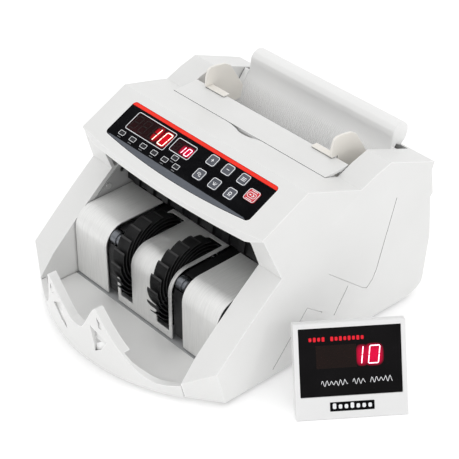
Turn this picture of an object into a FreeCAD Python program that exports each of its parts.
import FreeCAD, Part
import math
import os
import Sketcher

# Banknote counter with ultraviolet / magnetic counterfeit detection, and its
# small remote count display. +Z up, the front (note tray) faces -Y, +X is called
# right, millimetres. The shell is drawn about x = 0; origin_x / origin_y then
# shift every piece, which puts the origin under the centre of the whole set.

V = FreeCAD.Vector
Placement = FreeCAD.Placement
Rotation = FreeCAD.Rotation
doc = FreeCAD.newDocument("bill_detector")
sheet = doc.addObject("Spreadsheet::Sheet", "dims")
ROWS = iter(range(1, 10000))      # next free spreadsheet row
SERIAL = iter(range(1, 10000))    # number in the names of Part objects
PIECES = {}                       # label -> finished object
CUTS = []                         # every pocket, checked before export
BOTH = (-1, 1)                    # left, right


# ---------------------------------------------------------------- dimensions
class Dim:
    """A number together with the spreadsheet expression that gives it."""

    def __init__(self, value, text):
        self.value = float(value)
        self.text = text

    def __add__(self, other):
        return Dim(self.value + num(other), "(%s + %s)" % (self.text, text_of(other)))

    def __sub__(self, other):
        return Dim(self.value - num(other), "(%s - %s)" % (self.text, text_of(other)))

    def __neg__(self):
        return Dim(-self.value, "(0 - %s)" % self.text)


def num(x):
    return x.value if isinstance(x, Dim) else float(x)


def text_of(x):
    return x.text if isinstance(x, Dim) else "%.6g" % x


def dim(name, value):
    """One driving dimension: a cell with its alias."""
    row = next(ROWS)
    sheet.set("A%d" % row, name)
    sheet.set("B%d" % row, "%.6g" % value)
    sheet.setAlias("B%d" % row, name)
    return Dim(value, "dims." + name)


def table(name, corners):
    """A profile whose corners are driven by the sheet, two cells a corner."""
    return [(dim("%s_a%02d" % (name, i), a), dim("%s_b%02d" % (name, i), b))
            for i, (a, b) in enumerate(corners)]


ORIGIN_X = dim("origin_x", -53.188)
ORIGIN_Y = dim("origin_y", 111.978)
HALF_WIDTH = dim("half_width", 125.0)      # outer half width of the shell
WALL = dim("wall", 2.5)
HALF_OPENING = dim("half_opening", 97.5)   # half width of tray and hopper openings
FOOT_HEIGHT = dim("foot_height", 4.0)
PANEL_ANGLE = dim("panel_angle", 26.3)     # slope of the control panel
PANEL_Y = dim("panel_y", -155.3)           # lower edge of the control panel
PANEL_Z = dim("panel_z", 143.7)
SHAFT_R = dim("shaft_r", 4.0)
CLEARANCE = dim("running_clearance", 0.05)
FRAME_GAUGE = dim("frame_gauge", 1.8)
FRAME_OUT = HALF_OPENING + FRAME_GAUGE     # outer face of a side frame
BEARING_R = dim("bearing_r", 6.5)
RAIL_R = dim("rail_r", 2.5)                # rail that carries the note guides
RAIL_Y, RAIL_Z = dim("rail_y", -38.0), dim("rail_z", 134.0)
LID_Y, LID_Z = dim("lid_pivot_y", -52.5), dim("lid_pivot_z", 147.2)
LID_PIN_R = dim("lid_pin_r", 1.3)

# (y, z) of every axis that runs along x
AXES = {name: (dim(name + "_y", y), dim(name + "_z", z)) for name, y, z in (
    ("pickup", -14.0, 86.0), ("feed", -52.0, 76.0), ("retard", -56.0, 105.7),
    ("delivery", -100.0, 58.0), ("idler", -101.0, 80.6), ("stacker", -162.0, 50.0),
    ("motor", -22.0, 38.0))}
BEARING_AXES = ("pickup", "feed", "delivery", "stacker")
ROD_SITES = ((-112, 20), (6, 18), (8, 108))                     # (y, z)
BASE_SCREWS = [(side * 108, y) for side in BOTH for y in (-150, 4)]


def panel_height(y, drop=0.0):
    """Height of the panel plane at y, less an offset along its normal."""
    slope = math.radians(PANEL_ANGLE.value)
    return PANEL_Z.value + (y - PANEL_Y.value) * math.tan(slope) - drop / math.cos(slope)


# ---------------------------------------------------------------- outlines
# A loop is a list of corners. ("arc", x, y) between two corners bends that edge
# through (x, y); ("circle", x, y, r) is a whole loop.
def rect(x0, x1, y0, y1):
    return [(x0, y0), (x1, y0), (x1, y1), (x0, y1)]


def rounded(x, y, width, height, r):
    """Rounded rectangle centred on (x, y)."""
    x0, x1, y0, y1 = x - width / 2, x + width / 2, y - height / 2, y + height / 2
    k = r * (1 - math.sqrt(0.5))
    return [(x0 + r, y0), (x1 - r, y0), ("arc", x1 - k, y0 + k),
            (x1, y0 + r), (x1, y1 - r), ("arc", x1 - k, y1 - k),
            (x1 - r, y1), (x0 + r, y1), ("arc", x0 + k, y1 - k),
            (x0, y1 - r), (x0, y0 + r), ("arc", x0 + k, y0 + k)]


def flip(loop, side):
    """The loop with its first coordinate multiplied by side, 1 or -1."""
    return [(*p[:-2], side * p[-2], p[-1]) for p in loop]


def symmetric(half):
    """Half an outline followed by its mirror image, back to the start."""
    return half + flip(half[::-1], -1)


def mirrored(side, near, far):
    """Span from near to far on the right (1), or its mirror on the left (-1)."""
    return (near, far) if side > 0 else (-far, -near)


def stripe(path, half):
    """Closed outline of a line of the given half width along the path."""
    steps = [V(q[0] - p[0], q[1] - p[1], 0).normalize() for p, q in zip(path, path[1:])]
    left, right = [], []
    for i, (x, y) in enumerate(path):
        before = steps[max(i - 1, 0)]
        after = steps[min(i, len(steps) - 1)]
        across = V(-(before.y + after.y), before.x + after.x, 0).normalize()
        reach = half / max(0.3, across.dot(V(-before.y, before.x, 0)))
        left.append((x + across.x * reach, y + across.y * reach))
        right.append((x - across.x * reach, y - across.y * reach))
    return left + right[::-1]


def arc_edge(start, middle, end):
    """Arc for a sketch, its radius, and the vertex numbers of start and end."""
    circle = Part.Arc(start, middle, end).toShape().Curve
    centre, radius = circle.Center, circle.Radius
    a0 = math.atan2(start.y - centre.y, start.x - centre.x)
    a1 = math.atan2(end.y - centre.y, end.x - centre.x)
    vertices = (1, 2)
    if (middle - start).cross(end - middle).z < 0:   # sketch arcs run anticlockwise
        a0, a1 = a1, a0
        vertices = (2, 1)
    if a1 <= a0:
        a1 += 2 * math.pi
    arc = Part.ArcOfCircle(Part.Circle(centre, V(0, 0, 1), radius), a0, a1)
    return arc, radius, vertices


# ---------------------------------------------------------------- pieces
def finish(obj, label, x=0, y=0, z=0, rotation=None):
    """Label a piece and place it, bound to the shared origin shift."""
    obj.Label = label
    if rotation is not None:
        obj.Placement = Placement(V(0, 0, 0), rotation)
    for axis, shift in (("x", ORIGIN_X + x), ("y", ORIGIN_Y + y), ("z", z)):
        obj.setExpression(".Placement.Base." + axis, text_of(shift))
    PIECES[label] = obj


def at(name):
    """Placement arguments of a named axis."""
    y, z = AXES[name]
    return {"y": y, "z": z}


class Body:
    """A PartDesign body built from sketches.

    A plane is "XY", "XZ" (normal towards -Y), "YZ" (normal towards +X), or
    (y, z, angle): the XY plane moved to (y, z) and turned about X.
    """

    def __init__(self, label):
        self.count = 0
        self.label = label
        self.body = doc.addObject("PartDesign::Body", "Body_" + label)

    def feature(self, kind, stem):
        return self.body.newObject(kind, "%s_%s_%d" % (stem, self.label, self.count))

    def attach(self, sketch, plane, offset):
        tilted = isinstance(plane, tuple)
        role = ("XY" if tilted else plane) + "_Plane"
        support = [f for f in self.body.Origin.OriginFeatures if f.Role == role][0]
        sketch.AttachmentSupport = [(support, "")]
        sketch.MapMode = "FlatFace"
        if tilted:
            y, z, angle = [num(v) for v in plane]
            tilt = Rotation(V(1, 0, 0), angle)
            base = V(0, y, z) + tilt.multVec(V(0, 0, num(offset)))
            sketch.AttachmentOffset = Placement(base, tilt)
        else:
            sketch.AttachmentOffset = Placement(V(0, 0, num(offset)), Rotation())
            if isinstance(offset, Dim):
                sketch.setExpression(".AttachmentOffset.Base.z", offset.text)

    def sketch(self, plane, loops, offset):
        self.count += 1
        sketch = self.feature("Sketcher::SketchObject", "Sk")
        self.attach(sketch, plane, offset)
        geometry, constraints, bindings = [], [], []

        def fix(kind, edge, vertex, x):
            bindings.append((len(constraints), x))
            constraints.append(Sketcher.Constraint(kind, -1, 1, edge, vertex, num(x)))

        for loop in loops:
            first = len(geometry)
            if loop[0] == "circle":
                x, y, r = loop[1:]
                geometry.append(Part.Circle(V(num(x), num(y), 0), V(0, 0, 1), num(r)))
                bindings.append((len(constraints), r))
                constraints.append(Sketcher.Constraint("Radius", first, num(r)))
                fix("DistanceX", first, 3, x)
                fix("DistanceY", first, 3, y)
                continue
            corners, bends = [], {}
            for p in loop:
                if p[0] == "arc":
                    bends[len(corners) - 1] = V(num(p[1]), num(p[2]), 0)
                else:
                    corners.append(p)
            spots = [V(num(x), num(y), 0) for x, y in corners]
            total = len(corners)
            ends = []
            for i in range(total):
                start, end = spots[i], spots[(i + 1) % total]
                if i in bends:
                    edge, radius, vertices = arc_edge(start, bends[i], end)
                    constraints.append(Sketcher.Constraint("Radius", first + i, radius))
                else:
                    edge, vertices = Part.LineSegment(start, end), (1, 2)
                geometry.append(edge)
                ends.append(vertices)
            for i in range(total):
                j = (i + 1) % total
                constraints.append(Sketcher.Constraint(
                    "Coincident", first + i, ends[i][1], first + j, ends[j][0]))
            for i, (x, y) in enumerate(corners):
                fix("DistanceX", first + i, ends[i][0], x)
                fix("DistanceY", first + i, ends[i][0], y)
        sketch.addGeometry(geometry, False)
        sketch.addConstraint(constraints)
        for i, x in bindings:
            if isinstance(x, Dim):
                sketch.setExpression("Constraints[%d]" % i, x.text)
        return sketch

    def extrude(self, kind, stem, plane, loops, low, high):
        sketch = self.sketch(plane, loops, low)
        feature = self.feature(kind, stem)
        feature.Profile = sketch
        feature.Length = num(high) - num(low)
        if isinstance(low, Dim) or isinstance(high, Dim):
            feature.setExpression("Length", (high - low).text)
        return feature

    def pad(self, plane, loops, low, high):
        """Solid from low to high along the plane's normal."""
        self.extrude("PartDesign::Pad", "Pad", plane, loops, low, high)
        return self

    def cut(self, plane, loops, low, high):
        """Remove from low to high along the plane's normal."""
        pocket = self.extrude("PartDesign::Pocket", "Cut", plane, loops, low, high)
        pocket.Reversed = True
        CUTS.append(pocket)
        return self

    def turn(self, profile, axis="H_Axis", plane="XY"):
        """Full revolution of one profile about a sketch axis."""
        sketch = self.sketch(plane, [profile], 0)
        feature = self.feature("PartDesign::Revolution", "Turn")
        feature.Profile = sketch
        feature.ReferenceAxis = (sketch, [axis])
        feature.Angle = 360.0
        return self

    def end(self, **where):
        finish(self.body, self.label, **where)


def part(kind, stem):
    return doc.addObject("Part::" + kind, "%s_%d" % (stem, next(SERIAL)))


def cylinder(low, high, r, placement):
    obj = part("Cylinder", "Cyl")
    if isinstance(r, Dim):
        obj.setExpression("Radius", r.text)
    else:
        obj.Radius = r
    obj.Height = num(high) - num(low)
    if isinstance(low, Dim) or isinstance(high, Dim):
        obj.setExpression("Height", (high - low).text)
    obj.Placement = placement
    return obj


def rod(x0, x1, r, y=0, z=0):
    """Cylinder along x."""
    place = Placement(V(num(x0), num(y), num(z)), Rotation(V(0, 1, 0), 90))
    return cylinder(x0, x1, r, place)


def post(x, y, z0, z1, r):
    """Cylinder along z."""
    return cylinder(z0, z1, r, Placement(V(x, y, num(z0)), Rotation()))


def tube(x0, x1, outer, inner, y=0, z=0):
    """Hollow cylinder along x."""
    solid = rod(x0, x1, outer, y, z)
    bore = rod(num(x0) - 1, num(x1) + 1, inner, y, z)
    obj = part("Cut", "Less")
    obj.Base, obj.Tool = solid, bore
    return obj


def join(*objs):
    obj = part("MultiFuse", "Joined")
    obj.Shapes = list(objs)
    return obj


def group(objs):
    """Compound of several objects; a single object is returned as it is."""
    if len(objs) == 1:
        return objs[0]
    obj = part("Compound", "Group")
    obj.Links = list(objs)
    return obj


def size_box(obj, size, placement):
    obj.Length, obj.Width, obj.Height = size
    obj.Placement = placement
    return obj


# ---------------------------------------------------------------- upper cover
# Tilted planes on the cover, (y, z, angle about X)
FRONT_SLOPE = (-147, 100, 109.95)     # sketch y climbs the sloping front of the hood
HOOD_SIDES = (-147, 100, 117.8)
NOSE = (-217, 39, 194.4)
PANEL = (PANEL_Y, PANEL_Z, PANEL_ANGLE)

# Side-view tables, (y, z)
SHELL = table("side", [
    (-230, 4), (12, 4), (21.5, 7.5), (27.5, 12), (28.8, 20.6), (33.1, 60.3), (29.4, 102.3),
    (32.3, 105.3), (28.3, 130), (31.1, 137.6), (-24.6, 159.6), (-41.8, 154.5),
    (-58.9, 147.3), (-74.6, 152.5), (-113.2, 164.5), (-161.7, 140.5), (-147, 100),
    (-170.6, 80.4), (-192, 61.5), (-216.4, 39), (-232.1, 19.8)])
LIP = table("lip", [(-159, panel_height(-159)), (-172, panel_height(-172)),
                    (-172, 131.5), (-157.6, 131.5)])
LIP_HALF = dim("lip_half", 118.6)
POCKET_IN = dim("side_pocket_in", 100.0)     # inner face of the side pockets
# inside of the rear wall, from half height down to the open bottom
REAR_INSIDE = [(26.8, 103), (30.5, 60.3), (26.2, 21), (24.9, 13.8), (20.4, 9.8),
               (13.4, 6.6), (13.4, -2)]
MIDDLE_CAVITY = table("midcav", [
    (-262, -2), (-262, 131.3), (-158.6, 131.3), (-158.6, panel_height(-158.6, 2.6)),
    (-113.9, panel_height(-113.2, 2.8)), (-76.5, 150.0), (-74.1, 149.3), (-74.1, 190),
    (27.2, 190), (27.2, 137.6), (25.6, 130), (28.6, 106)] + REAR_INSIDE)
SIDE_CAVITY = table("sidecav", [
    (-206, -2), (-213.8, 38.4), (-190.2, 58.6), (-168.8, 77.6), (-146.2, 96.2),
    (-59.6, 143.6), (-41.2, 151.3), (-24.6, 156.2), (28.2, 135.6), (25.6, 130),
    (29.6, 106)] + REAR_INSIDE)
FRAME_CAVITY = table("framecav", [
    (-188, -2), (-188, 57.5), (-168.8, 75), (-147.2, 94.2), (-141.5, 98), (-120, 110),
    (-95, 124), (25, 124), (29, 104)] + REAR_INSIDE)
HOOD_CAVITY = table("hoodcav", [
    (-143.5, 100.2), (-157.9, panel_height(-157.9, 3.0)),
    (-113.9, panel_height(-113.2, 3.0)), (-76, 149.6), (-63, 146.4), (-60.5, 141.5)])

cover = Body("upper_cover")
cover.pad("YZ", [SHELL], -HALF_WIDTH, HALF_WIDTH)
# lip under the panel: its front bulges forward in plan and thins at both cheeks
cover.pad("YZ", [LIP], -LIP_HALF, LIP_HALF)
cover.cut("XY", [[(-130, -161.0), (-118.6, -161.7), ("arc", 0, -170.0), (118.6, -161.7),
                  (130, -161.0), (130, -190), (-130, -190)]], 119, 165)
CHEEK = [(84, 26.0), (130, 26.0), (130, 44.6), (118.6, 42.3), (104, 36.8), (92, 33.9),
         (84, 33.3)]
cover.cut(FRONT_SLOPE, [flip(CHEEK, side) for side in (1, -1)], -0.05, 24)
# side facets of the hood, leaning in above the ridge line
FACET = [(125, 0), (114.3, 60), (145, 60), (145, 0)]
cover.cut(HOOD_SIDES, [flip(FACET, side) for side in (1, -1)], -200, 60)
# bevelled noses at the two front corners
BEVEL = [(125, 0), (85, 28.07), (85, 70), (150, 70), (150, -17.5)]
cover.cut(NOSE, [flip(BEVEL, side) for side in (1, -1)], -60, 60)
# hollow between the side frames, open at the tray, the bottom and the hopper
cover.cut("YZ", [MIDDLE_CAVITY], -HALF_OPENING, HALF_OPENING)
cover.cut("XY", [[(-97.4, -157), (-97.4, -160.4), ("arc", 0, -167.3), (97.4, -160.4),
                  (97.4, -157)]], 120, 134.8)
# rounded upper corners of the front opening
corner_x = HALF_OPENING.value + 0.1
CORNER = [(corner_x, 22.0), (corner_x, 33.6), (87.5, 33.6), ("arc", 94.4, 30.6)]
for side in (1, -1):
    cover.pad(FRONT_SLOPE, [flip(CORNER, side)], -8, 0)
for side in (1, -1):
    cover.cut("YZ", [SIDE_CAVITY], *mirrored(side, POCKET_IN, HALF_WIDTH - WALL))
cover.cut("YZ", [FRAME_CAVITY], -POCKET_IN, POCKET_IN)
cover.cut("YZ", [HOOD_CAVITY], -112, 112)
# panel seat and the through opening behind it
cover.cut(PANEL, [[(-92.9, -0.2), ("arc", 0, -6.2), (92.9, -0.2), (92.9, 38.7),
                   (-92.9, 38.7)]], -2.05, 8)
cover.cut(PANEL, [rect(-88, 88, 2.5, 35.5)], -9, 1)
# finger scoop in the hood in front of the access lid
cover.pad("XY", [[(-28, -74.1), (-28, -77.5), (-8, -83.0), (16, -83.0), (27, -77.5),
                  (27, -74.1)]], 146.4, 151.6)
cover.cut("XY", [[(-25, -73.9), ("arc", -13.5, -75.8), (-4, -79.6), ("arc", 4.5, -80.9),
                  (12.5, -78.8), ("arc", 16.5, -75.6), (22, -73.9)]], 147.9, 160)
# shallow moulded lines on both sides
LINES = [stripe(path, 0.45) for path in (
    [(-14.4, 120.5), (-34.5, 54.4), (-38.5, 46.5), (-44.9, 40.5), (-50, 43), (-92.9, 78.6)],
    [(-68.8, 54.4), (-84.4, 30.5)],
    [(-155, 9.7), (-116.7, 55.2), (-98.8, 41.6)])]
for side in (1, -1):
    cover.cut("YZ", LINES, *mirrored(side, HALF_WIDTH - 0.5, HALF_WIDTH + 1))
# rear window for the connector plate, and cooling slots
cover.cut("XZ", [rect(-96, -8, 22, 58)], -40, -22)
cover.cut("XZ", [rect(14 + 9 * i, 18 + 9 * i, 28, 54) for i in range(9)], -40, -22)
# holes for the access lid's pins
cover.cut("YZ", [("circle", LID_Y, LID_Z, LID_PIN_R + CLEARANCE)], -104, 104)
cover.end()

# ---------------------------------------------------------------- base and feet
base = Body("base_plate")
base.pad("XY", [symmetric([(-121.5, 13.0), (-121.5, -196), (-100.4, -204), (-100.4, -187.6),
                           (-97.0, -187.6), (-97.0, -192.6)])],
         FOOT_HEIGHT, FOOT_HEIGHT + 2.4)
base.cut("XY", [rect(-40 + 12 * i, -34 + 12 * i, -120, -80) for i in range(7)], 3, 8)
base.cut("XY", [("circle", x, y, 1.8) for x, y in BASE_SCREWS], 3, 8)
# upright connector plate at the rear, with its inlet, switch and cable openings
base.pad("YZ", [[(10, 5.2), (13.0, 6.4), (17.8, 11.0), (23.6, 22.0), (25.2, 25.0),
                 (25.4, 62.0), (23.9, 62.0), (23.9, 25.4), (16.4, 11.8), (11.0, 6.4),
                 (9, 6.4)]], -96, -7)
base.cut("XZ", [rect(-92, -64.5, 28.5, 50), rect(-55, -42, 29.5, 49),
                rect(-25.2, -18.8, 36.8, 43.2)], -27, -22)
base.end()

FOOT_R = dim("foot_r", 9.0)
finish(group([post(side * 96, y, 0, FOOT_HEIGHT, FOOT_R)
              for side in BOTH for y in (-176, -8)]), "rubber_feet")
# upright screws through the base: head, then shank
screws = [join(post(x, y, 2.2, 4.0, 3.0), post(x, y, 4.0, 14.0, 1.6))
          for x, y in BASE_SCREWS]

# ---------------------------------------------------------------- note tray
# Profiles are (radius, z) about the tray's own upright axis.
TRAY_R = dim("tray_radius", 181.0)
tray = Body("note_tray")
tray.turn([(100, 4), (TRAY_R, 4), (184.6, 28), (193.0, 80), (190.6, 80), (181.9, 28),
           (178.0, 18), ("arc", 173.6, 10.4), (165, 7.2), (100, 6.6)], "V_Axis", "XZ")
# the horns are thicker than the tray wall below them
tray.turn([(177.5, 36), (184.0, 36), (191.0, 80), (184.8, 80)], "V_Axis", "XZ")
# keep the front sector between the cheeks
tray.cut("XY", [[(-97.1, -300), (-97.1, -116.3), (97.1, -116.3), (97.1, -300), (300, -300),
                 (300, 300), (-300, 300), (-300, -300)]], -5, 100)
# right half of the rim in front view, (x, z), from the cheek over a horn
RIM = [(97, 17.5), (86, 14.5), (77, 13.7), (68.6, 17), (60, 24), (52, 34), (45, 46),
       (38.5, 60), (34.6, 71), (33.4, 74.6), ("arc", 31.9, 76.6), (30.0, 75.6), (26.5, 71),
       (20, 61), (14, 51.5), (8.5, 44.5)]
tray.cut("XZ", [RIM + [("arc", 0, 41.5)] + flip(RIM[::-1], -1)
                + [(-110, 17.5), (-110, 120), (110, 120), (110, 17.5)]], 60, 260)
# scooped triangles on the horns' faces
SCOOP_LOW = [(20.6, 53.0), (19.4, 22.5), (27.5, 28.0), (37.0, 42.0)]
SCOOP_HIGH = [(31.6, 68.0), (37.4, 54.0), (31.0, 55.5)]
for side in (1, -1):
    tray.cut("XZ", [flip(SCOOP_LOW, side)], 181.2, 215)
    tray.cut("XZ", [flip(SCOOP_HIGH, side)], 185.6, 215)
tray.end(y=dim("tray_axis_y", -77.0))

# ---------------------------------------------------------------- side frames
FRAME = table("frame", [
    (-187.5, 8), (-187.5, 57), (-168.5, 74.2), (-147.0, 93.4), (-141.0, 97.6),
    (-119.6, 109.6), (-94.8, 123.4), (18, 123.4), (22, 104), (22, 18), (12, 8)])
frames = []
for name, side in (("side_frame_left", -1), ("side_frame_right", 1)):
    frame = Body(name)
    inner, outer = mirrored(side, HALF_OPENING, FRAME_OUT)
    frame.pad("YZ", [FRAME], inner, outer)
    holes = [("circle", *AXES[key], BEARING_R) for key in BEARING_AXES]
    holes += [("circle", *AXES[key], SHAFT_R) for key in ("retard", "idler")]
    holes += [("circle", y, z, 3.0) for y, z in ROD_SITES + ((-134.5, 94.0),)]
    holes.append(("circle", -127.0, 84.0, 1.6))
    if side < 0:
        holes.append(("circle", *AXES["motor"], 9.0))
    frame.cut("YZ", holes, num(inner) - 2, num(outer) + 2)
    frames.append(frame.body)
finish(group(frames), "side_frames")

# cross rods between the frames; the last one is the rail the note guides slide on
rods = [rod(-HALF_OPENING, HALF_OPENING, 3.6, y, z) for y, z in ROD_SITES]
rods.append(rod(-HALF_OPENING, HALF_OPENING, RAIL_R, RAIL_Y, RAIL_Z))
finish(group(rods), "cross_rods")

# screws at the rods' ends: head outside the frame, shank in its thickness
screws += [join(rod(*mirrored(side, FRAME_OUT, FRAME_OUT + 2), 5.0, y, z),
                rod(*mirrored(side, HALF_OPENING, FRAME_OUT), 2.9, y, z))
           for side in BOTH for y, z in ROD_SITES]
# pan heads on the frames' inner faces, beside the delivery plates
screws += [rod(*mirrored(side, HALF_OPENING - 1.2, HALF_OPENING), 3.0, -152.0, 83.0)
           for side in BOTH]
finish(group(screws), "fixing_screws")

# ---------------------------------------------------------------- shafts and rollers
BEARING_LENGTH = 5.0
finish(group([tube(*mirrored(side, FRAME_OUT - BEARING_LENGTH, FRAME_OUT),
                   BEARING_R, SHAFT_R + CLEARANCE, *AXES[key])
              for side in BOTH for key in BEARING_AXES]), "shaft_bearings")

PICKUP_R = dim("pickup_r", 17.5)
FEED_R = dim("feed_r", 19.5)
DELIVERY_R = dim("delivery_r", 15.8)
IDLER_R = dim("idler_r", 6.2)
RETARD_R = dim("retard_r", 9.6)
WHEEL_R = dim("wheel_r", 40.5)
# pulley radii under the belt
FEED_PULLEY_R, FEED_OUTER_R = 13, 10.5
DELIVERY_PULLEY_R, STACKER_PULLEY_R, PICKUP_PULLEY_R, MOTOR_PULLEY_R = 8.5, 20, 11.5, 8


def shaft(key, x0, x1):
    Body(key + "_shaft").turn([(x0, 0), (x0, SHAFT_R), (x1, SHAFT_R), (x1, 0)]).end(**at(key))


def rollers(key, spans, r):
    finish(group([tube(x0, x1, r, SHAFT_R) for x0, x1 in spans]), key + "_rollers", **at(key))


def pulleys(name, key, spans):
    """Flanged flat-belt pulleys pressed on one shaft; spans are (x0, x1, r)."""
    bodies = []
    for i, (x0, x1, r) in enumerate(spans):
        pulley = Body("%s_%d" % (name, i))
        pulley.turn([(x0, SHAFT_R), (x0, r + 2), (x0 + 0.8, r + 2), (x0 + 0.8, r),
                     (x1 - 0.8, r), (x1 - 0.8, r + 2), (x1, r + 2), (x1, SHAFT_R)])
        bodies.append(pulley.body)
    finish(group(bodies), name, **at(key))


shaft("pickup", -101, 119)
rollers("pickup", [(-38, -22), (22, 38)], PICKUP_R)
shaft("feed", -112, 119)
rollers("feed", [(-46, -14), (14, 46)], FEED_R)
# the retard rollers and the delivery idlers are one piece with their shafts
JOURNAL_R = SHAFT_R - CLEARANCE
Body("retard_rollers").turn(symmetric([
    (-99.2, 0), (-99.2, JOURNAL_R), (-32, JOURNAL_R), (-32, RETARD_R), (-16, RETARD_R),
    (-16, SHAFT_R)])).end(**at("retard"))
shaft("delivery", -119, 112)
rollers("delivery", [(-80, -58), (-11, 11), (58, 80)], DELIVERY_R)
Body("delivery_idlers").turn(symmetric([
    (-99.2, 0), (-99.2, JOURNAL_R), (-78, JOURNAL_R), (-78, IDLER_R), (-60, IDLER_R),
    (-60, SHAFT_R), (-9, SHAFT_R), (-9, IDLER_R)])).end(**at("idler"))
shaft("stacker", -119, 101)
pulleys("feed_pulleys", "feed", [(-110, -103.4, FEED_PULLEY_R), (103.4, 110, FEED_PULLEY_R),
                                 (111.6, 118, FEED_OUTER_R)])
pulleys("delivery_pulleys", "delivery", [(-117.6, -111.4, DELIVERY_PULLEY_R),
                                         (103.4, 110, DELIVERY_PULLEY_R)])
pulleys("stacker_pulley", "stacker", [(-117.6, -111.4, STACKER_PULLEY_R)])
pulleys("pickup_pulley", "pickup", [(111.6, 118, PICKUP_PULLEY_R)])

# ---------------------------------------------------------------- stacker wheels
# A hub with thin curved vanes, each swept back round it.
VANES = 20
HUB_R, VANE_ROOT_R = 13.0, 12.0
VANE_SWEEP = math.radians(138.0)
VANE_STATIONS = 13


def vane_edges():
    """The two long edges of one vane, root to tip, as (y, z) points."""
    edge_a, edge_b = [], []
    for i in range(VANE_STATIONS):
        u = i / (VANE_STATIONS - 1.0)
        r = VANE_ROOT_R + (WHEEL_R.value - VANE_ROOT_R) * u
        angle = -VANE_SWEEP * (u ** 1.05)
        spread = (3.2 - 0.6 * u) / 2.0 / r      # half thickness as an angle
        edge_a.append((r * math.cos(angle - spread), r * math.sin(angle - spread)))
        edge_b.append((r * math.cos(angle + spread), r * math.sin(angle + spread)))
    return edge_a, edge_b


def wheel_shape(x0, x1):
    axis, width = V(1, 0, 0), x1 - x0
    edge_a, edge_b = [[V(x0, y, z) for y, z in edge] for edge in vane_edges()]
    curve_a, curve_b = Part.BSplineCurve(), Part.BSplineCurve()
    curve_a.interpolate(edge_a)
    curve_b.interpolate(edge_b[::-1])
    outline = Part.Wire([curve_a.toShape(), Part.makeLine(edge_a[-1], edge_b[-1]),
                         curve_b.toShape(), Part.makeLine(edge_b[0], edge_a[0])])
    vane = Part.Face(outline).extrude(V(width, 0, 0))
    wheel = Part.makeCylinder(HUB_R, width, V(x0, 0, 0), axis)
    for i in range(VANES):
        copy = vane.copy()
        copy.rotate(V(0, 0, 0), axis, i * 360.0 / VANES)
        wheel = wheel.fuse(copy)
    bore = Part.makeCylinder(SHAFT_R.value, width + 2, V(x0 - 1, 0, 0), axis)
    return wheel.cut(bore).removeSplitter()


wheels = []
for name, side in (("left", -1), ("right", 1)):
    wheel = doc.addObject("Part::Feature", "Wheel_" + name)
    wheel.Shape = wheel_shape(*mirrored(side, 18.0, 32.0))
    wheels.append(wheel)
finish(group(wheels), "stacker_wheels", **at("stacker"))

# ---------------------------------------------------------------- delivery plates
# Bent sheet in side view, (y, z); the bend is centred on (-171.5, 56).
k_out = 20 * math.sqrt(0.5)
k_in = 18.8 * math.sqrt(0.5)
SHEET = [(-126, 77), (-171.5, 76), ("arc", -171.5 - k_out, 56 + k_out), (-191.5, 56),
         (-191.5, 8.6), (-190.3, 8.6), (-190.3, 56), ("arc", -171.5 - k_in, 56 + k_in),
         (-171.5, 74.8), (-126, 75.8)]
plates = []
for name, x0, x1 in (("left", -96.2, -51.6), ("centre", -37.2, 37.2), ("right", 51.6, 96.2)):
    plate = Body("delivery_plate_" + name).pad("YZ", [SHEET], x0, x1)
    if name == "centre":
        # slots for the stacker wheels
        for side in BOTH:
            plate.cut("XY", [rect(*mirrored(side, 16.6, 33.4), -196, -130.0)], 16, 90)
    plates.append(plate.body)
finish(group(plates), "delivery_plates")

# ---------------------------------------------------------------- guide frames
# lower guide frame behind the plates: a cross web and two ribs
RIB = table("lowguide", [
    (-122, 73.6), (-170, 73.0), (-180, 70.6), (-186.8, 64.5), (-189.4, 56), (-189.4, 14),
    (-180, 14), (-172, 55), (-164, 62), (-122, 64)])
BEND_Y, BEND_Z = dim("bend_y", -181.5), dim("bend_z", 66.5)
BEND_PIN_R = 1.5
lower = Body("lower_guide_frame")
lower.pad("YZ", [[(-117, 73.6), (-122.6, 73.6), (-122.6, 66), (-117, 62)]], -96, 96)
for side in BOTH:
    lower.pad("YZ", [RIB], *mirrored(side, 37.8, 51.0))
# room in each rib for a small roller at the plates' bend, on its own pin
for side in BOTH:
    lower.cut("YZ", [("circle", BEND_Y, BEND_Z, 7.3)], *mirrored(side, 38.6, 50.2))
lower.cut("YZ", [("circle", BEND_Y, BEND_Z, CLEARANCE + BEND_PIN_R)], -60, 60)
lower.end()
bend_rollers = []
for i, x in enumerate((-49.8, 39.0)):
    roller = Body("bend_roller_%d" % i)
    roller.turn([(x - 1.1, 0), (x - 1.1, BEND_PIN_R), (x, BEND_PIN_R), (x, 6.2),
                 (x + 0.6, 6.6), (x + 7.2, 6.6), (x + 7.2, 5.6), (x + 10.8, 5.6),
                 (x + 10.8, BEND_PIN_R), (x + 11.9, BEND_PIN_R), (x + 11.9, 0)])
    bend_rollers.append(roller.body)
finish(group(bend_rollers), "bend_rollers", y=BEND_Y, z=BEND_Z)

# upper guide frame under the hood, with nine teeth along its front
upper = Body("upper_guide_frame")
upper.pad("YZ", [table("upguide", [
    (-127, 79.6), (-131, 84), (-129, 104), (-112, 112), (-108, 112), (-108, 96), (-112, 90),
    (-112, 82)])], -95.5, 95.5)
for i in range(9):
    x = -80 + i * 20
    upper.pad("YZ", [[(-127.5, 80.2), (-134, 86), (-131.5, 98), (-126, 98)]], x - 4, x + 4)
upper.end()

# ---------------------------------------------------------------- hopper
rest = Body("hopper_backrest")
rest.pad("YZ", [[(16.4, 148.3), ("arc", 14.6, 156.5), (20.0, 162.2), ("arc", 24.5, 163.6),
                 (28.6, 162.4), ("arc", 32.2, 158.6), (32.9, 153.0), (31.0, 146.0),
                 (24.0, 140.4), (18.7, 144.2), (-28.9, 87.3), (-31.2, 89.2)]], -91, 91)
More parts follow.
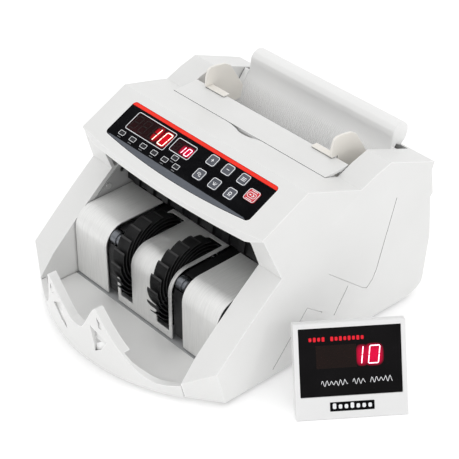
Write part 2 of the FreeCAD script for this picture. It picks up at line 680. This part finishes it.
# below the rolled rim the plate widens to meet the cover on both sides
rest.pad("YZ", [table("restplate", [(-31.2, 89.2), (13.07, 144.66), (15.37, 140.2),
                                    (-28.9, 87.3)])], -96.8, 96.8)
# slots for the pickup rollers
for side in BOTH:
    rest.cut("XY", [rect(*mirrored(side, 20.5, 39.5), -33.0, 4.0)], 80, 125)
rest.end()

# access lid: plate, barrel and two moulded pins, about its pivot
lid = Body("access_lid")
lid.pad("YZ", [table("lid", [
    (-20.6, 5.0), (6.5, 6.0), (6.5, 3.6), (2.6, 3.4), (2.4, -1.0), (1.0, -2.4), (-1.0, -2.4),
    (-2.4, -1.0), (-2.6, 3.0), (-20.6, 2.4)])], -96.6, 96.6)
lid.pad("YZ", [("circle", 0, 0, LID_PIN_R)], -99.4, 99.4)
lid.end(y=LID_Y, z=LID_Z)

GUIDE = table("guide", [
    (-49.9, 153.7), (-51.1, 155.7), (-50.0, 163.5), (-47.6, 170.4), (-44.6, 172.0),
    (-39.0, 172.0), (-27.5, 170.2), (-21.0, 166.2), (-5.9, 140.4), (-9.0, 128.0),
    (-42.6, 128.0), (-42.6, 153.7)])
for name, side in (("note_guide_left", -1), ("note_guide_right", 1)):
    guide = Body(name)
    guide.pad("YZ", [GUIDE], *mirrored(side, 79, 81))
    # foot along the lid's rear edge, and the boss on the rail
    guide.pad("YZ", [rect(-49.8, -43.2, 153.7, 154.7)], *mirrored(side, 56, 79))
    guide.pad("YZ", [("circle", RAIL_Y, RAIL_Z, 4.6)], *mirrored(side, 69, 79))
    guide.cut("YZ", [("circle", RAIL_Y, RAIL_Z, RAIL_R + CLEARANCE)], -83, 83)
    guide.end()

# ---------------------------------------------------------------- control panel
# Places on the panel are (x, distance up the slope); heights are along its normal.
KEYS = {"key_plus": (21.3, 28.4), "key_minus": (40.5, 28.4), "key_batch": (59.8, 28.4),
        "key_add": (21.3, 11.9), "key_uv": (40.5, 11.9), "key_mg": (59.8, 11.9)}
KEY_SIZE, KEY_GAP = 10.4, 0.5
RESET = (77.8, 20.2)
RESET_W, RESET_H = 12.8, 11.4
READOUTS = [(-53.7, 22.3, 50.2, 18.6), (-12.2, 23.8, 23.4, 13.2)]    # x, y, width, height
LENSES = [(-76.8, 7.0), (-62.2, 7.0), (-47.6, 7.0), (-33.0, 7.0), (-18.9, 7.0),
          (-11.6, 13.0), (-3.8, 6.8)]
LENS_W, LENS_H, LENS_DEPTH, LENS_GAP = 5.6, 3.2, 2.0, 0.6
PANEL_BACK = -2.0

holes = [rounded(*spot, KEY_SIZE + KEY_GAP, KEY_SIZE + KEY_GAP, 2.2) for spot in KEYS.values()]
holes.append(rounded(*RESET, RESET_W + KEY_GAP, RESET_H + KEY_GAP, 2.4))
holes += [rounded(x, y, width + 0.2, height + 0.2, 1.6) for x, y, width, height in READOUTS]
holes += [rounded(*spot, LENS_W + LENS_GAP, LENS_H + LENS_GAP, 0.8) for spot in LENSES]
panel = Body("control_panel")
panel.pad(PANEL, [[(-92.7, 0.0), ("arc", 0, -6.0), (92.7, 0.0), (92.7, 38.5),
                   (-92.7, 38.5)]], PANEL_BACK, 0.0)
panel.cut(PANEL, holes, -4, 2)
panel.end()
Body("readout_windows").pad(PANEL, [rounded(*r, 1.5) for r in READOUTS], PANEL_BACK, 0.0).end()
for name, spot in KEYS.items():
    Body(name).pad(PANEL, [rounded(*spot, KEY_SIZE, KEY_SIZE, 2.0)], -2.4, 0.7).end()
Body("key_reset").pad(PANEL, [rounded(*RESET, RESET_W, RESET_H, 2.2)], -2.4, 0.7).end()

panel_place = Placement(V(0, PANEL_Y.value, PANEL_Z.value),
                        Rotation(V(1, 0, 0), PANEL_ANGLE.value))
lenses = []
for i, (x, y) in enumerate(LENSES):
    corner = Placement(V(x - LENS_W / 2, y - LENS_H / 2, -LENS_DEPTH), Rotation())
    lenses.append(size_box(doc.addObject("Part::Box", "Lens_%d" % i),
                           (LENS_W, LENS_H, LENS_DEPTH), panel_place.multiply(corner)))
finish(group(lenses), "indicator_lenses")

# circuit board with the two readouts and a switch under every key
BOARD_TOP = -7.4
board = Body("panel_board")
board.pad(PANEL, [rect(-86, 86, 4, 34)], -9.0, BOARD_TOP)
board.pad(PANEL, [rect(-77, -30, 15, 30)], BOARD_TOP, -2.8)
board.pad(PANEL, [rect(-22, -2, 18.5, 29)], BOARD_TOP, -2.8)
for x, y in list(KEYS.values()) + [RESET]:
    board.pad(PANEL, [rect(x - 3, x + 3, y - 3, y + 3)], BOARD_TOP, -3.1)
board.end()

# ---------------------------------------------------------------- drive
# Turned profiles are (x, radius).
Body("drive_motor").turn([
    (-97.4, 9.2), (-97.4, 26), (-95, 28), (-40, 28), (-36, 24), (-36, 0), (-38, 0),
    (-38, 6.2), (-94, 6.2), (-94, 9.2)]).end(**at("motor"))
# motor shaft in one piece with its pulley
Body("motor_pulley").turn([
    (-119, 0), (-119, 3.0), (-110, 3.0), (-110, 10), (-109.2, 10), (-109.2, MOTOR_PULLEY_R),
    (-104.2, MOTOR_PULLEY_R), (-104.2, 10), (-103.4, 10), (-103.4, 3.0), (-99, 3.0),
    (-99, 6.1), (-38.3, 6.1), (-38.3, 0)]).end(**at("motor"))

encoder = Body("encoder_disc")
encoder.turn([(-118, 3.0), (-118, 16), (-117.2, 16), (-117.2, 3.0)])
WINDOW = ((10, -0.18), (14.5, -0.18), (14.5, 0.18), (10, 0.18))     # radius, angle
encoder.cut("YZ", [[(r * math.cos(i * math.pi / 4 + a), r * math.sin(i * math.pi / 4 + a))
                    for r, a in WINDOW] for i in range(8)], -119, -116)
encoder.end(**at("motor"))

BELT_GAP = 0.08
BELT_THICKNESS = 1.4


def belt_loop(c1, r1, c2, r2):
    """Open-belt outline round two circles."""
    base = math.atan2(c2[1] - c1[1], c2[0] - c1[0])
    wrap = math.acos((r1 - r2) / math.hypot(c2[0] - c1[0], c2[1] - c1[1]))

    def on(c, r, angle):
        return c[0] + r * math.cos(angle), c[1] + r * math.sin(angle)

    return [on(c1, r1, base + wrap), ("arc", *on(c1, r1, base + math.pi)),
            on(c1, r1, base - wrap), on(c2, r2, base - wrap),
            ("arc", *on(c2, r2, base)), on(c2, r2, base + wrap)]


# name, x0, x1, then axis and pulley radius at each end
BELTS = [
    ("drive_belt", -108.8, -104.6, "motor", MOTOR_PULLEY_R, "feed", FEED_PULLEY_R),
    ("stacker_belt", -116.4, -112.6, "delivery", DELIVERY_PULLEY_R,
     "stacker", STACKER_PULLEY_R),
    ("delivery_belt", 104.6, 108.8, "feed", FEED_PULLEY_R, "delivery", DELIVERY_PULLEY_R),
    ("pickup_belt", 112.8, 116.8, "feed", FEED_OUTER_R, "pickup", PICKUP_PULLEY_R)]
belts = []
for name, x0, x1, key1, r1, key2, r2 in BELTS:
    c1, c2 = [[num(v) for v in AXES[key]] for key in (key1, key2)]
    r1, r2 = r1 + BELT_GAP, r2 + BELT_GAP
    belt = Body(name)
    belt.pad("YZ", [belt_loop(c1, r1 + BELT_THICKNESS, c2, r2 + BELT_THICKNESS)], x0, x1)
    belt.cut("YZ", [belt_loop(c1, r1, c2, r2)], x0 - 1, x1 + 1)
    belts.append(belt.body)
finish(group(belts), "drive_belts")

# ---------------------------------------------------------------- detection
finish(rod(0, 84, 2.6), "uv_lamp", x=-42, y=-101.0, z=93.0)
Body("magnetic_head").pad("YZ", [[(-90, 76.8), (-84, 78.8), (-84, 92), (-92, 92),
                                  (-92, 78.4)]], -12, 12).end()
SENSOR = (12, 8, 6)
finish(group([size_box(part("Box", "Box"), SENSOR, Placement(V(x, -78, z), Rotation()))
              for x in (-58, 46) for z in (62, 100)]), "count_sensors")

GAP_SCREW_Y = dim("gap_screw_y", -56.0)
GAP_SCREW_R = 3.0
bracket = Body("retard_bracket")
bracket.pad("YZ", [rect(-66, -46, 118, 121)], -95, 95)
bracket.cut("XY", [("circle", 0, GAP_SCREW_Y, CLEARANCE + GAP_SCREW_R)], 110, 130)
bracket.end()
Body("gap_screw").turn([
    (0, 116), (GAP_SCREW_R, 116), (GAP_SCREW_R, 122.4), (9, 122.4), (10, 123.4), (10, 130),
    (9, 131), (0, 131)], "V_Axis", "XZ").end(y=GAP_SCREW_Y)

# ---------------------------------------------------------------- electronics
# upright board; its components (x0, x1, z0, z1, height) stand on the front face
BOARD_FRONT = -19
board = Body("main_board")
board.pad("XZ", [rect(12, 92, 14, 92)], -20.6, BOARD_FRONT)
for *block, height in ((20, 34, 60, 74, 6), (40, 62, 50, 56, 4), (70, 84, 66, 86, 9),
                       (22, 60, 22, 34, 10), (68, 80, 24, 36, 12), (44, 54, 70, 84, 7)):
    board.pad("XZ", [rect(*block)], BOARD_FRONT, BOARD_FRONT + height)
board.end()

transformer = Body("transformer")
transformer.pad("XY", [rect(30, 84, -84, -40)], 6.4, 9)
transformer.pad("XY", [rect(34, 80, -80, -44)], 9, 43)
transformer.pad("YZ", [rect(-75, -49, 14, 38)], 28, 86)
transformer.end()

SWITCH_Y, SWITCH_Z = dim("switch_y", 21.0), dim("switch_z", 39.25)
SWITCH_PIN_R = dim("switch_pin_r", 1.2)
SOCKET = [(-89.5, 31), (-67, 31), (-67, 43), (-71, 47), (-85.5, 47), (-89.5, 43)]
FLANGE = (-27.4, -25.45)      # flange thickness along the XZ normal
inlet = Body("power_inlet")
inlet.pad("XZ", [rect(-93.5, -63, 27, 51.5)], *FLANGE)
inlet.pad("XZ", [rect(-91.8, -64.7, 28.7, 49.8)], -25.45, -8)
inlet.cut("XZ", [SOCKET], -30, -12)
for x, z in ((-84.2, 39.5), (-78.2, 35.5), (-72.2, 39.5)):
    inlet.pad("XZ", [rect(x - 1, x + 1, z - 2, z + 2)], -25, -11.5)
# the flange runs on round the switch housing
inlet.pad("XZ", [rect(-93.5, -40.5, 27, 51.5)], *FLANGE)
inlet.pad("XZ", [rect(-54.8, -42.2, 29.7, 48.8)], -25.45, -9)
inlet.cut("XZ", [rect(-53, -44, 31.5, 47)], -30, -12)
# reopen the socket through the wider flange
inlet.cut("XZ", [SOCKET], -30, -25)
inlet.cut("YZ", [("circle", SWITCH_Y, SWITCH_Z, SWITCH_PIN_R + CLEARANCE)], -54.9, -42.1)
inlet.end()

switch = Body("power_switch")
switch.pad("YZ", [[(-4, -4), (4.2, -7.0), (7.0, -6.6), (6.0, 0), (8.6, 6.6), (4.2, 7.0),
                   (-4, 4)]], -52.7, -44.3)
# pivot pin, carried in the two side walls of the housing
switch.pad("YZ", [("circle", 0, 0, SWITCH_PIN_R)], -54.0, -43.0)
switch.end(y=SWITCH_Y, z=SWITCH_Z)

# ---------------------------------------------------------------- remote display
# Local frame: x along its width, y straight back, z up; the face leans back.
DISPLAY_X, DISPLAY_Y = dim("display_x", 177.3), dim("display_y", -177.0)
HEADING = dim("display_heading", 54.0)
LEAN = dim("display_tilt", 28.4)
WIDTH = dim("display_w", 92.0)
HEIGHT = dim("display_h", 80.0).value
DEPTH = dim("display_depth", 14.0).value
display_turn = Rotation(V(0, 0, 1), HEADING.value)
DISPLAY = {"x": DISPLAY_X, "y": DISPLAY_Y, "rotation": display_turn}
FACE = (0.0, 0.0, 90.0 - LEAN.value)      # sketch y up the face, normal forwards
STAND_PIN_R = 1.2


def lean(behind, up):
    """(y, z) of a point given by its depth behind the face and height up it."""
    angle = math.radians(LEAN.value)
    c, s = math.cos(angle), math.sin(angle)
    return behind * c + up * s, up * c - behind * s


def leaning(*points):
    return [lean(*p) for p in points]


bezel = Body("display_bezel")
bezel.pad("YZ", [leaning((0, 0), (5.95, 3.22), (5.95, HEIGHT), (1.0, HEIGHT),
                         (0, HEIGHT - 1))], 0, WIDTH)
bezel.cut(FACE, [rect(4.0, 88.0, 19.0, 75.5)], -3.0, 2)
bezel.cut(FACE, [rect(8.0, 84.0, 23.0, 71.5)], -9.0, 1)
bezel.end(**DISPLAY)
Body("display_window").pad(FACE, [rect(4.2, 87.8, 19.2, 75.3)], -2.9, -0.9).end(**DISPLAY)

HINGE = lean(17.0, 45.0)
back = Body("display_back")
back.pad("YZ", [leaning((6.0, 3.245), (DEPTH, 7.57), (DEPTH, 76), (11, HEIGHT),
                        (6.0, HEIGHT))], 0, WIDTH)
back.cut(FACE, [rect(3.0, 89.0, 11.0, 74.0)], -12.0, -5)
back.cut("YZ", [leaning((13.9, 49), (16, 49), (16, 41), (13.9, 41))], 24, 68)
# two lugs for the stand's pin
for x0, x1 in ((18, 23), (69, 74)):
    back.pad("YZ", [leaning((13.5, 50), (17.0, 49), (19.6, 46), (19.6, 44), (17.0, 41),
                            (13.5, 40))], x0, x1)
back.cut("YZ", [("circle", *HINGE, CLEARANCE + STAND_PIN_R)], 17, 75)
# opening for the cable
back.cut(FACE, [rect(41.0, 51.0, 15.0, 24.0)], -16.0, -9.0)
back.end(**DISPLAY)

board = Body("display_board")
board.pad(FACE, [rect(9.0, 83.0, 24.0, 70.5)], -7.6, -6.1)
board.pad(FACE, [rect(22.0, 74.0, 37.0, 61.0)], -6.1, -3.2)
board.end(**DISPLAY)

# stand: a leaf from the hinge back to the ground, with its pin
FOOT_Y = 52.0
leg = V(FOOT_Y - HINGE[0], -HINGE[1], 0)
leg_angle = math.atan2(leg.y, leg.x)


def on_leg(along, off):
    """(y, z) of a point along the leg from the hinge, and off to its upper side."""
    c, s = math.cos(leg_angle), math.sin(leg_angle)
    return HINGE[0] + c * along - s * off, HINGE[1] + s * along + c * off


stand = Body("display_stand")
stand.pad("YZ", [("circle", *HINGE, 2.9)], 24, 68)
stand.pad("YZ", [[on_leg(2.0, -1.2), on_leg(leg.Length - 1.4, -1.2), (FOOT_Y + 0.9, 0.0),
                  (FOOT_Y + 3.4, 0.0), on_leg(leg.Length - 1.9, 1.2), on_leg(2.0, 1.2)]],
          24, 68)
stand.pad("YZ", [("circle", *HINGE, STAND_PIN_R)], 18.2, 73.8)
stand.cut("XZ", [rect(34, 58, -3, 24)], -70, 0)
stand.end(**DISPLAY)

# ---------------------------------------------------------------- cable
# From the rear of the counter down behind it, under its base between the feet,
# and up into the back of the display.
doc.recompute()      # build the modelled pieces before the cable is added
CABLE_R = 1.5


def from_display(behind, up):
    """Point on the display's centre line, in the counter's frame."""
    local = V(WIDTH.value / 2, *lean(behind, up))
    return display_turn.multVec(local) + V(DISPLAY_X.value, DISPLAY_Y.value, 0)


jack = from_display(12.5, 19.5)
outside = from_display(22.0, 19.0)
path = [V(*point) for point in (
    (-22, 22.0, 40), (-22, 29.0, 40), (-22, 36.0, 38.6), (-22, 40.2, 34), (-22, 41.4, 27),
    (-21.8, 41.5, 16), (-21, 40.6, 8), (-19, 37.6, 3.6), (-15, 32, 2.0), (-9, 24, 1.75),
    (0, 13, 1.7), (20, -8, 1.7), (45, -32, 1.7), (70, -55, 1.7), (95, -76, 1.7),
    (118, -93, 1.7), (138, -105, 1.7), (156, -113.5, 1.75), (168, -118.6, 2.6))]
path += [outside + (outside - jack) * 0.5 - V(0, 0, 0.3), outside, jack]
curve = Part.BSplineCurve()
curve.interpolate(path)
start_tangent = curve.tangent(curve.FirstParameter)[0]
section = Part.Wire([Part.makeCircle(CABLE_R, path[0], start_tangent)])
sweep = Part.Wire([curve.toShape()]).makePipeShell([section], True, False)
# the sweep may come back as a solid, hold one, or be only its faces
if sweep.ShapeType != "Solid":
    sweep = sweep.Solids[0] if sweep.Solids else Part.Solid(Part.Shell(sweep.Faces))
cable = doc.addObject("Part::Feature", "Cable")
cable.Shape = sweep
finish(cable, "display_cable")

# ---------------------------------------------------------------- check and export
doc.recompute()
faults = []
for obj in doc.Objects:
    if "Invalid" in obj.State or "Error" in obj.State:
        faults.append("%s (%s): %s" % (obj.Name, obj.Label, obj.State))
for pocket in CUTS:
    if pocket.Shape.isNull() or not pocket.BaseFeature:
        continue
    if pocket.Shape.Volume >= pocket.BaseFeature.Shape.Volume - 1e-6:
        faults.append("cut removes nothing: " + pocket.Name)
for label, obj in PIECES.items():
    if obj.Shape.isNull() or not obj.Shape.isValid() or not obj.Shape.Solids:
        faults.append("bad shape " + label)
if faults:
    print("\n".join(faults))
    raise SystemExit(1)
os.makedirs("parts", exist_ok=True)
for label, obj in PIECES.items():
    obj.Shape.exportStep("parts/%s.step" % label)
